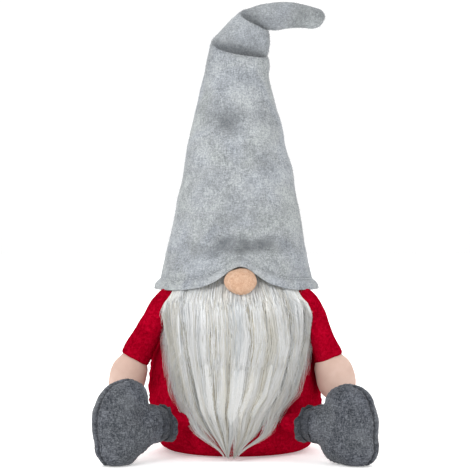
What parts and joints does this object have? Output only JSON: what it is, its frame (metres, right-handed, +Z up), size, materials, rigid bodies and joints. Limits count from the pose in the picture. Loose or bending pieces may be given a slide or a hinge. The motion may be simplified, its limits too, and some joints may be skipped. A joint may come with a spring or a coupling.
{
  "type": "seated gnome figurine",
  "caption": "Seated stuffed felt gnome with a tall bent hat, ball nose, long fur beard, hanging arms and splayed boots",
  "frame": {"origin": "centre of the underside of the base panel, on the surface that the gnome sits on", "axes": "+Z up along the body and the hat, -Y the way the gnome faces, +X the gnome's own left"},
  "size_m": [0.2922, 0.241, 0.4794],
  "materials": {
    "red_felt": "felted wool-look cloth",
    "light_felt": "mottled light grey felt",
    "dark_felt": "mottled dark grey felt",
    "skin_jersey": "smooth knitted cloth",
    "nose_felt": "short-napped felt",
    "beard_fur": "long straight imitation fur",
    "backing_cloth": "woven backing cloth",
    "fibre_fill": "loose fibre filling",
    "pellet_cloth": "sewn bag of plastic pellets",
    "thread": "twisted thread",
    "wire": "soft steel wire"
  },
  "bodies": {
    "body": {"base_panel": "red_felt", "body_front_panel": "red_felt", "body_back_panel": "red_felt", "body_filling": "fibre_fill", "pellet_bag": "pellet_cloth", "hat_cone": "light_felt", "hat_filling": "fibre_fill", "hat_wire_base": "wire", "nose_cover": "nose_felt", "nose_filling": "fibre_fill", "beard_top_backing": "backing_cloth", "beard_top_pile": "beard_fur"},
    "beard": {"beard_backing": "backing_cloth", "beard_pile": "beard_fur"},
    "hat_fold": {"hat_fold_cover": "light_felt", "hat_fold_filling": "fibre_fill", "hat_wire_middle": "wire"},
    "hat_tip": {"hat_tip_cover": "light_felt", "hat_tip_filling": "fibre_fill", "hat_wire_tip": "wire"},
    "right_arm": {"right_sleeve": "red_felt", "right_hand": "skin_jersey", "right_arm_filling": "fibre_fill"},
    "right_leg": {"right_leg": "red_felt", "right_leg_filling": "fibre_fill", "right_boot_front_panel": "dark_felt", "right_boot_back_panel": "dark_felt", "right_boot_filling": "fibre_fill", "right_boot_tie": "thread"},
    "left_arm": {"left_sleeve": "red_felt", "left_hand": "skin_jersey", "left_arm_filling": "fibre_fill"},
    "left_leg": {"left_leg": "red_felt", "left_leg_filling": "fibre_fill", "left_boot_front_panel": "dark_felt", "left_boot_back_panel": "dark_felt", "left_boot_filling": "fibre_fill", "left_boot_tie": "thread"}
  },
  "joints": [
    {"name": "beard_lift", "type": "hinge", "parent": "body", "child": "beard", "pos_m": [0, -0.073, 0.163], "axis": [-1, 0, 0], "range_deg": [0, 45]},
    {"name": "hat_fold_bend", "type": "hinge", "parent": "body", "child": "hat_fold", "pos_m": [0, 0, 0.42], "axis": [0, 1, 0], "range_deg": [-30, 8]},
    {"name": "hat_tip_bend", "type": "hinge", "parent": "hat_fold", "child": "hat_tip", "pos_m": [0.025, 0, 0.4648], "axis": [0, 1, 0], "range_deg": [-50, 12]},
    {"name": "right_arm_raise", "type": "hinge", "parent": "body", "child": "right_arm", "pos_m": [-0.075, -0.042, 0.1603], "axis": [0, 1, 0], "range_deg": [0, 60]},
    {"name": "left_arm_raise", "type": "hinge", "parent": "body", "child": "left_arm", "pos_m": [0.075, -0.042, 0.1603], "axis": [0, -1, 0], "range_deg": [0, 60]},
    {"name": "right_leg_raise", "type": "hinge", "parent": "body", "child": "right_leg", "pos_m": [-0.058, -0.086, 0.041], "axis": [-0.5446, 0.8387, 0], "range_deg": [0, 25]},
    {"name": "left_leg_raise", "type": "hinge", "parent": "body", "child": "left_leg", "pos_m": [0.058, -0.086, 0.041], "axis": [-0.5446, -0.8387, 0], "range_deg": [0, 25]}
  ]
}
